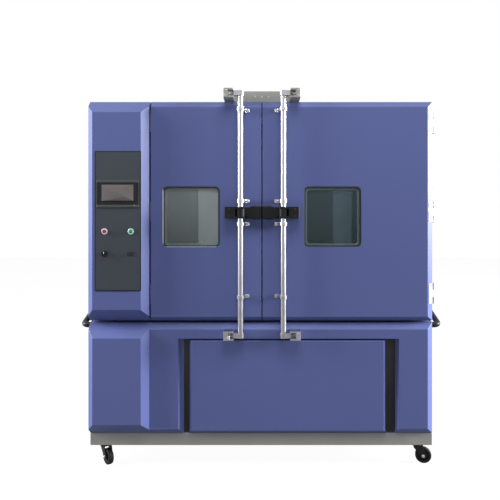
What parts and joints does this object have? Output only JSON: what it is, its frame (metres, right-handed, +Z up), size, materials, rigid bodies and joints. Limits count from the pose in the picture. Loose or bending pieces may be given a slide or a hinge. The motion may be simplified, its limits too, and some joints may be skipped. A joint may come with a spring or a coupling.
{
  "type": "environmental test chamber",
  "caption": "Large floor-standing temperature and humidity test chamber with two windowed, rod-locked doors, a control column, a machine base and swivel casters.",
  "frame": {"origin": "centre of the bounding box at floor level, under the casters", "axes": "+Z up, -Y towards the doors and the operator, +X to the operator's right"},
  "size_m": [1.834, 1.472, 1.881],
  "materials": {
    "blue_paint": "textured blue-violet powder coat",
    "grey_paint": "plain light grey paint",
    "slate_plate": "satin dark slate coat",
    "plated_steel": "bright zinc plate",
    "stainless": "brushed stainless steel",
    "black_moulding": "moulded black, light grain",
    "controller_case": "black bezel, glossy screen",
    "bezel_metal": "turned metal",
    "red_lens": "clear red cap",
    "green_lens": "clear green cap",
    "black_knob": "glossy black knob",
    "window_glass": "tinted coated glass",
    "black_rubber": "silicone seal",
    "foam": "rigid foam",
    "black_steel": "black painted steel",
    "caster_tyre": "black nylon and rubber",
    "coil_aluminium": "bare fins",
    "board_plastic": "grey device cases"
  },
  "bodies": {
    "cabinet": {"plinth_frame": "grey_paint", "base_housing": "blue_paint", "centre_cover": "blue_paint", "upper_housing": "blue_paint", "insulation": "foam", "liner": "stainless", "shelves": "stainless", "air_baffle": "stainless", "fan_motor": "black_steel", "evaporator": "coil_aluminium", "heater": "stainless", "cable_port": "stainless", "control_column": "blue_paint", "control_plate": "slate_plate", "touch_controller": "controller_case", "panel_fittings": "bezel_metal", "electrical_board": "board_plastic", "lock_plate": "grey_paint", "base_keepers": "plated_steel", "cabinet_hinge_leaves": "plated_steel", "hinge_pins": "plated_steel", "side_grips": "black_moulding", "caster_plates": "black_steel", "compressor": "black_steel", "condenser": "coil_aluminium", "humidifier": "stainless", "rear_services": "plated_steel"},
    "left_door": {"left_door_panel": "blue_paint", "left_door_pan": "stainless", "left_window_frame": "black_rubber", "left_window_glass": "window_glass", "left_door_gasket": "black_rubber", "left_rod_guides": "plated_steel", "left_lever_block": "black_moulding", "left_door_hinge_leaves": "plated_steel"},
    "left_rod": {"left_lock_rod": "plated_steel", "left_lever": "black_moulding"},
    "right_door": {"right_door_panel": "blue_paint", "right_door_pan": "stainless", "right_window_frame": "black_rubber", "right_window_glass": "window_glass", "right_door_gasket": "black_rubber", "right_rod_guides": "plated_steel", "right_lever_block": "black_moulding", "right_door_hinge_leaves": "plated_steel"},
    "right_rod": {"right_lock_rod": "plated_steel", "right_lever": "black_moulding"},
    "stop_button": {"stop_button": "red_lens"},
    "start_button": {"start_button": "green_lens"},
    "selector_knob": {"selector_knob": "black_knob"},
    "circulation_fan": {"circulation_fan": "stainless"},
    "condenser_fan": {"condenser_fan": "black_steel"},
    "front_left_fork": {"front_left_caster_fork": "black_steel"},
    "front_left_wheel": {"front_left_caster_wheel": "caster_tyre"},
    "front_right_fork": {"front_right_caster_fork": "black_steel"},
    "front_right_wheel": {"front_right_caster_wheel": "caster_tyre"},
    "rear_left_fork": {"rear_left_caster_fork": "black_steel"},
    "rear_left_wheel": {"rear_left_caster_wheel": "caster_tyre"},
    "rear_right_fork": {"rear_right_caster_fork": "black_steel"},
    "rear_right_wheel": {"rear_right_caster_wheel": "caster_tyre"}
  },
  "joints": [
    {"name": "left_door_swing", "type": "hinge", "parent": "cabinet", "child": "left_door", "pos_m": [-0.55075, -0.669, 1.28], "axis": [0, 0, 1], "range_deg": [-100, 0]},
    {"name": "right_door_swing", "type": "hinge", "parent": "cabinet", "child": "right_door", "pos_m": [0.8625, -0.638, 1.28], "axis": [0, 0, 1], "range_deg": [0, 110]},
    {"name": "left_rod_turn", "type": "hinge", "parent": "left_door", "child": "left_rod", "pos_m": [-0.101, -0.711, 1.272], "axis": [0, 0, 1], "range_deg": [-100, 0]},
    {"name": "right_rod_turn", "type": "hinge", "parent": "right_door", "child": "right_rod", "pos_m": [0.108, -0.711, 1.272], "axis": [0, 0, 1], "range_deg": [0, 100]},
    {"name": "stop_button_press", "type": "slide", "parent": "cabinet", "child": "stop_button", "axis": [0, 1, 0], "range_m": [0, 0.0035], "stiffness_N_per_m": 500},
    {"name": "start_button_press", "type": "slide", "parent": "cabinet", "child": "start_button", "axis": [0, 1, 0], "range_m": [0, 0.0035], "stiffness_N_per_m": 500},
    {"name": "selector_turn", "type": "hinge", "parent": "cabinet", "child": "selector_knob", "pos_m": [-0.761, -0.72, 1.072], "axis": [0, -1, 0], "range_deg": [-45, 45]},
    {"name": "circulation_fan_spin", "type": "hinge", "parent": "cabinet", "child": "circulation_fan", "pos_m": [0.121, 0.44, 1.494], "axis": [0, 1, 0], "continuous": true},
    {"name": "condenser_fan_spin", "type": "hinge", "parent": "cabinet", "child": "condenser_fan", "pos_m": [0.33, 0.45, 0.364], "axis": [0, 1, 0], "continuous": true},
    {"name": "front_left_swivel", "type": "hinge", "parent": "cabinet", "child": "front_left_fork", "pos_m": [-0.795, -0.579, 0.09], "axis": [0, 0, 1], "continuous": true},
    {"name": "front_left_roll", "type": "hinge", "parent": "front_left_fork", "child": "front_left_wheel", "pos_m": [-0.77443, -0.60351, 0.04], "axis": [0.766, 0.6428, 0], "continuous": true},
    {"name": "front_right_swivel", "type": "hinge", "parent": "cabinet", "child": "front_right_fork", "pos_m": [0.795, -0.579, 0.09], "axis": [0, 0, 1], "continuous": true},
    {"name": "front_right_roll", "type": "hinge", "parent": "front_right_fork", "child": "front_right_wheel", "pos_m": [0.82591, -0.58728, 0.04], "axis": [0.2588, 0.9659, 0], "continuous": true},
    {"name": "rear_left_swivel", "type": "hinge", "parent": "cabinet", "child": "rear_left_fork", "pos_m": [-0.795, 0.634, 0.09], "axis": [0, 0, 1], "continuous": true},
    {"name": "rear_left_roll", "type": "hinge", "parent": "rear_left_fork", "child": "rear_left_wheel", "pos_m": [-0.76879, 0.61565, 0.04], "axis": [0.5736, 0.8192, 0], "continuous": true},
    {"name": "rear_right_swivel", "type": "hinge", "parent": "cabinet", "child": "rear_right_fork", "pos_m": [0.795, 0.634, 0.09], "axis": [0, 0, 1], "continuous": true},
    {"name": "rear_right_roll", "type": "hinge", "parent": "rear_right_fork", "child": "rear_right_wheel", "pos_m": [0.82507, 0.64494, 0.04], "axis": [-0.342, 0.9397, 0], "continuous": true}
  ]
}
